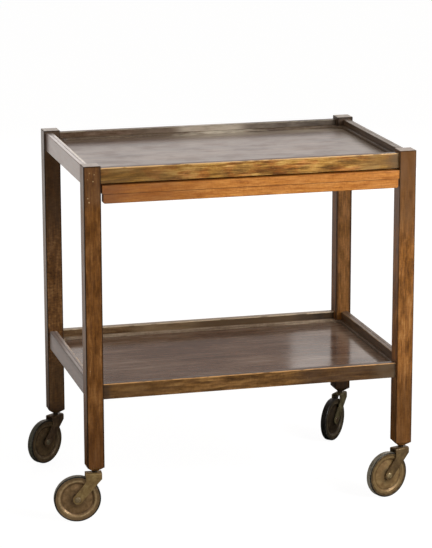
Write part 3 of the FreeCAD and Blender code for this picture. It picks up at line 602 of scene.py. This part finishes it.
# ---- castors --------------------------------------------------------------------------------
def turned(name, outline, material, steps):
    """Turn a closed outline of (radius, height) points about Z, ring by ring. Its points
    keep their radius in millimetres, for finishes that follow the turning."""
    (radius, height), *others = outline
    bpy.ops.object.select_all(action="DESELECT")
    bpy.ops.mesh.primitive_circle_add(vertices=steps, radius=radius, fill_type="NOTHING",
                                      location=(0, 0, height))
    obj = bpy.context.object
    obj.name = name
    bpy.ops.object.transform_apply(location=True, rotation=False, scale=False)
    bpy.ops.object.mode_set(mode="EDIT")
    bpy.ops.mesh.select_all(action="SELECT")
    for next_radius, next_height in others + [outline[0]]:
        bpy.ops.mesh.extrude_region_move(
            TRANSFORM_OT_translate={"value": (0, 0, next_height - height)})
        factor = next_radius / radius
        bpy.ops.transform.resize(value=(factor, factor, 1), center_override=(0, 0, next_height))
        radius, height = next_radius, next_height
    bpy.ops.mesh.select_all(action="SELECT")
    bpy.ops.mesh.remove_doubles(threshold=1e-6)
    bpy.ops.mesh.normals_make_consistent(inside=False)
    bpy.ops.object.mode_set(mode="OBJECT")
    bpy.ops.object.shade_smooth_by_angle(angle=TURNED_ANGLE)
    obj.data.materials.append(material)
    radii = obj.data.attributes.new("radius", "FLOAT", "POINT")
    for vertex, value in zip(obj.data.vertices, radii.data):
        value.value = math.hypot(vertex.co.x, vertex.co.y) / MM
    return obj


def softened(node, name, material, width):
    """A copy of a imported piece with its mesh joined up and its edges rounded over."""
    obj = frame["nodes"][node].copy()
    obj.data = obj.data.copy()
    obj.name = name
    obj.parent = None
    for key in list(obj.keys()):
        del obj[key]
    bpy.context.scene.collection.objects.link(obj)
    bpy.ops.object.select_all(action="DESELECT")
    obj.select_set(True)
    bpy.context.view_layer.objects.active = obj
    bpy.ops.object.mode_set(mode="EDIT")
    bpy.ops.mesh.select_all(action="SELECT")
    bpy.ops.mesh.remove_doubles(threshold=2e-6)
    bpy.ops.mesh.dissolve_limited(angle_limit=math.radians(2))
    bpy.ops.object.mode_set(mode="OBJECT")
    bevel = obj.modifiers.new("rounded edges", "BEVEL")
    bevel.width = width
    bevel.segments = 2
    bevel.limit_method = "ANGLE"
    bevel.angle_limit = SOFT_ANGLE
    bpy.ops.object.modifier_apply(modifier=bevel.name)
    bpy.ops.object.shade_smooth_by_angle(angle=SOFT_ANGLE)
    obj.data.materials.clear()
    obj.data.materials.append(material)
    return obj


def arc(middle, radius, start, end, steps=6):
    """Points on an arc, with angles in degrees from the outward direction."""
    angles = [math.radians(start + (end - start) * i / steps) for i in range(steps + 1)]
    return [(middle[0] + radius * math.cos(a), middle[1] + radius * math.sin(a)) for a in angles]


def mirrored(outline):
    """The same outline on the other side of the wheel's middle plane."""
    return [(radius, -height) for radius, height in reversed(outline)]


def tyre_outline():
    """Section of the tyre: a shallow crowned tread with rounded shoulders."""
    half, edge = TYRE_HALF_WIDTH, WHEEL_RADIUS - TYRE_SHOW
    inner, inner_half = edge - 2 * MM, half - 1.6 * MM
    shoulder = 2.2 * MM
    crown = arc((WHEEL_RADIUS - shoulder, half - shoulder), shoulder, 0, 90)
    return [(inner, inner_half), (inner, -inner_half), (edge, -half), *mirrored(crown), *crown,
            (edge, half)]


def disc_outline():
    """Section of one pressed wheel disc, outer face first, from the hub to the rim: dished
    web, rolled step, flared rim, all of one sheet. Its lists are in millimetres."""
    face = [(7.5, 6.4), (9.8, 6.4), (11.2, 6.2), (13.0, 5.85), (28.6, 2.9), (30.2, 2.7),
            (31.2, 2.9), (32.2, 3.6), (34.2, 5.3), (35.0, 5.75), (36.0, 5.9), (37.4, 5.75),
            (41.8, 6.3), (42.9, 6.5), (43.4, 6.2)]
    back = [(radius, height - DISC_SHEET / MM) for radius, height in face[:-1]]
    return [(radius * MM, height * MM) for radius, height in face + [(43.4, 5.0)] + back[::-1]]


def head_outline():
    """Section of the axle with its two domed heads: seat is where a head starts, reach its
    radius and tall its height, in millimetres."""
    seat, reach, tall = 10.7, 6.0, 2.2
    dome = [(max(radius, 0.05), seat + (height - seat) * tall / reach)
            for radius, height in arc((0.02, seat), reach, 4, 86, 7)]
    shank = 3.0
    half = [(shank, seat), (reach, seat)] + dome
    return [(radius * MM, height * MM) for radius, height in mirrored(half) + half]


def put(obj, spin, body):
    """Move a turned piece onto its axle and let it ride with its body."""
    axis = Vector(spin["axis"])
    turn = Vector((0, 0, 1)).rotation_difference(axis).to_matrix().to_4x4()
    obj.data.transform(Matrix.Translation(Vector(spin["pos_m"])) @ turn)
    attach(obj, body)
    return obj


# tones differ from corner to corner as painted light and shade: the back castors, the back right
# most, are darker for the shade under the trays, the front left wheel is lighter and the front
# right fork darker to even out the lamp
CASTOR_LOOKS = {
    "front_left": dict(
        wheel=("#644C30", "#8E704A", "#A4825A", "#BC9C70"), rim="#D8BC8C", grime_and_shade="#3E3020",
        flange=0.4,
        fork=("#6C5634", "#94784C", "#A88E5C", "#C0A678"), tread=("#6C6658", "#A49C8A"),
        rivet=("#6E5A40", "#94805E", "#AC9878", "#C6B696")),
    "front_right": dict(
        wheel=("#6E5636", "#96764C", "#AC8E5E", "#C2A274"), rim="#84704C", grime_and_shade="#3A2E1E",
        flange=0.75,
        fork=("#483820", "#685234", "#7C6440", "#948058"), tread=("#767060", "#ACA492"),
        rivet=("#6A5638", "#94805A", "#AC9870", "#C8B690")),
    "back_left": dict(
        wheel=("#46351F", "#665237", "#786344", "#927D5A"), rim="#8A7A60", grime_and_shade="#1E160C",
        flange=0.3,
        fork=("#3A2C1C", "#5A4632", "#6A553C", "#826E4E"), tread=("#3A3A30", "#646252"),
        rivet=("#4A4030", "#6E644E", "#887E68", "#A89E88")),
    "back_right": dict(
        wheel=("#20180F", "#362B1E", "#453826", "#5C5038"), rim="#6E6450", grime_and_shade="#140E08",
        flange=0.2,
        fork=("#38301E", "#564C34", "#686044", "#827A5C"), tread=("#0E0C0A", "#1E1C16"),
        rivet=("#2E2418", "#463828", "#584834", "#6C5C44")),
}


def dress_castors():
    """Wheels, tyres, axles, forks and stems of the four castors."""
    stem = dull_steel("castor stem steel", "#5A5044")
    spins = {joint["name"]: joint for joint in frame["joints"]}
    for corner, looks in CASTOR_LOOKS.items():
        name = corner.replace("_", " ")
        bronze = worn_bronze(f"worn bronze wheel {name}", looks["wheel"], looks["rim"],
                             looks["grime_and_shade"], metal=0.4, flange=looks["flange"])
        sheet = worn_bronze(f"worn bronze fork {name}", looks["fork"])
        rivet = worn_bronze(f"rubbed bronze rivet {name}", looks["rivet"], gloss=0.28)
        rubber = hard_rubber(f"castor rubber {name}", looks["tread"])
        spin, wheel, castor = spins["spin_" + corner], "wheel_" + corner, "castor_" + corner
        tyre = turned("rubber_tyre_" + corner, tyre_outline(), rubber, WHEEL_STEPS)
        tyre = put(tyre, spin, wheel)
        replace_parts(tyre, "tyre_" + corner)
        for number, outline in enumerate((disc_outline(), mirrored(disc_outline()))):
            disc = turned(f"wheel_disc_{corner}_{number}", outline, bronze, WHEEL_STEPS)
            disc = put(disc, spin, wheel)
            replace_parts(disc, "wheel_discs_" + corner)
        axle = turned("axle_rivet_" + corner, head_outline(), rivet, RIVET_STEPS)
        axle = put(axle, spin, castor)
        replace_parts(axle, "axle_" + corner)
        fork = softened("fork_" + corner, "bent_fork_" + corner, sheet, FORK_ROUNDING)
        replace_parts(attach(fork, castor), "fork_" + corner)
        pin = softened("stem_" + corner, "swivel_stem_" + corner, stem, STEM_ROUNDING)
        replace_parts(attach(pin, castor), "stem_" + corner)
        finish_node("socket_" + corner, stem)
        finish_node("hub_" + corner, stem)


# ---- studio -----------------------------------------------------------------------------------
def lamp(name, place, target, size, power):
    """Soft rectangular lamp, aimed at a point."""
    data = bpy.data.lights.new(name, "AREA")
    data.shape = "RECTANGLE"
    data.size, data.size_y = size
    data.energy = power
    obj = bpy.data.objects.new(name, data)
    bpy.context.scene.collection.objects.link(obj)
    obj.location = place
    obj.rotation_euler = (Vector(target) - Vector(place)).to_track_quat("-Z", "Y").to_euler()
    return obj


def make_world():
    """White to the camera. Glossy faces see it bright behind the trolley and dim towards
    the front; all else gets an even, soft light."""
    world = bpy.data.worlds.new("studio white")
    bpy.context.scene.world = world
    world.use_nodes = True
    world.node_tree.nodes.clear()
    path = add(world, "LightPath")
    seen = maths(world, "MAXIMUM", path.outputs["Is Glossy Ray"],
                 path.outputs["Is Transmission Ray"])
    towards = add(world, "SeparateXYZ", {"Vector": add(world, "TexCoord").outputs["Generated"]})
    dim, bright, even = 0.1, 0.38, 0.34
    glossy = span(world, towards.outputs["Y"], -0.2, 0.5, dim, bright)
    strength = add(world, "Mix", {0: seen, 2: even, 3: glossy}, data_type="FLOAT").outputs[0]
    strength = add(world, "Mix", {0: path.outputs["Is Camera Ray"], 2: strength, 3: 1.0},
                   data_type="FLOAT").outputs[0]
    tint = blend(world, seen, "#FFFAF4", "#FFEFE6")
    tint = blend(world, path.outputs["Is Camera Ray"], tint, "#FFFFFF")
    background = add(world, "Background", {"Color": tint, "Strength": strength})
    add(world, "OutputWorld", {"Surface": background})


def make_floor():
    """White paper sweep that keeps a faint shadow, since most of what the camera sees of it
    is its own glow; glossy faces see it bright behind the trolley and to its left only."""
    glow, share_of_glow = 1.165, 0.8
    bpy.ops.object.select_all(action="DESELECT")
    bpy.ops.mesh.primitive_plane_add(size=60, location=(0, 0, 0))
    floor = bpy.context.object
    floor.name = "studio_floor"
    paper = new_material("white paper floor")
    path = add(paper, "LightPath")
    diffuse = add(paper, "BsdfDiffuse", {"Color": colour("#F4F4F4")})
    white = add(paper, "Emission", {"Color": colour("#FFFFFF"), "Strength": glow})
    share = maths(paper, "MULTIPLY", path.outputs["Is Camera Ray"], share_of_glow)
    seen = add(paper, "MixShader", {0: share, 1: diffuse, 2: white})
    place = add(paper, "SeparateXYZ", {"Vector": add(paper, "TexCoord").outputs["Object"]})
    bright = maths(paper, "MULTIPLY", span(paper, place.outputs["X"], -0.59, -0.51, 0.78, 0.04),
                   span(paper, place.outputs["Y"], 0.2, 0.6))
    falloff = add(paper, "Emission", {"Color": colour("#FFF8F2"), "Strength": bright})
    mix = add(paper, "MixShader", {0: path.outputs["Is Glossy Ray"], 1: seen, 2: falloff})
    add(paper, "OutputMaterial", {"Surface": mix})
    floor.data.materials.append(paper)


def make_flag():
    """Grey flag behind the trolley that only its glossy faces see: it keeps the lower tray
    and the inner faces of the legs dark, with a bright strip beside it."""
    bpy.ops.object.select_all(action="DESELECT")
    bpy.ops.mesh.primitive_plane_add(size=1, rotation=(math.radians(90), 0, 0))
    flag = bpy.context.object
    flag.name = "studio_flag"
    flag.scale = (0.5, 0.62, 1)
    flag.location = (0.22, 1.0, 0.4)
    grey = new_material("grey flag")
    add(grey, "OutputMaterial", {"Surface": add(grey, "Emission", {
        "Color": colour("#C4B4AC"), "Strength": 0.58})})
    flag.data.materials.append(grey)
    for kind in ("camera", "diffuse", "transmission", "shadow", "volume_scatter"):
        setattr(flag, "visible_" + kind, False)


def make_lamps():
    """Broad key lamp close by at the front right, weak fill from the left, a soft lamp high
    behind that gives level faces their sheen, and a low one that only lights the back."""
    lamp("key lamp", (1.35, -1.5, 1.2), target=(0.15, 0, 0.42), size=(0.9, 0.9), power=26)
    lamp("fill lamp", (-1.6, -2.6, 1.6), target=MIDDLE, size=(1.8, 1.8), power=12)
    back = lamp("back lamp", (0.85, 3.5, 1.95), target=(0, 0, 0.68), size=(2.4, 1.4), power=12)
    back.data.color = colour("#FFFCF9")[:3]
    back.visible_camera = False
    low = lamp("low back lamp", (1.5, 3.0, 0.8), target=MIDDLE, size=(1.8, 1.8), power=16)
    low.visible_camera = low.visible_glossy = False


def make_camera():
    """Long lens from the front left, a little above the top tray."""
    data = bpy.data.cameras.new("camera")
    camera = bpy.data.objects.new("camera", data)
    bpy.context.scene.collection.objects.link(camera)
    data.sensor_fit = "HORIZONTAL"
    data.sensor_width = 36
    data.lens = 195.0
    data.clip_end = 100
    # how far it is turned to the right, tilted down and rolled
    yaw, pitch, roll = (math.radians(a) for a in (14.647, 13.471, -0.117))
    forward = Vector((math.sin(yaw) * math.cos(pitch), math.cos(yaw) * math.cos(pitch),
                      -math.sin(pitch)))
    level = Vector((math.cos(yaw), -math.sin(yaw), 0))
    right = math.cos(roll) * level + math.sin(roll) * level.cross(forward)
    turn = Matrix((right, right.cross(forward), -forward)).transposed()
    place = Vector((MIDDLE.x - 1.1793, MIDDLE.y - 4.4495, 1.5297))
    camera.matrix_world = Matrix.Translation(place) @ turn.to_4x4()
    bpy.context.scene.camera = camera


dress_frame()
dress_leaf()
dress_castors()
make_world()
make_floor()
make_flag()
make_lamps()
make_camera()
bpy.context.scene.view_settings.view_transform = "Standard"
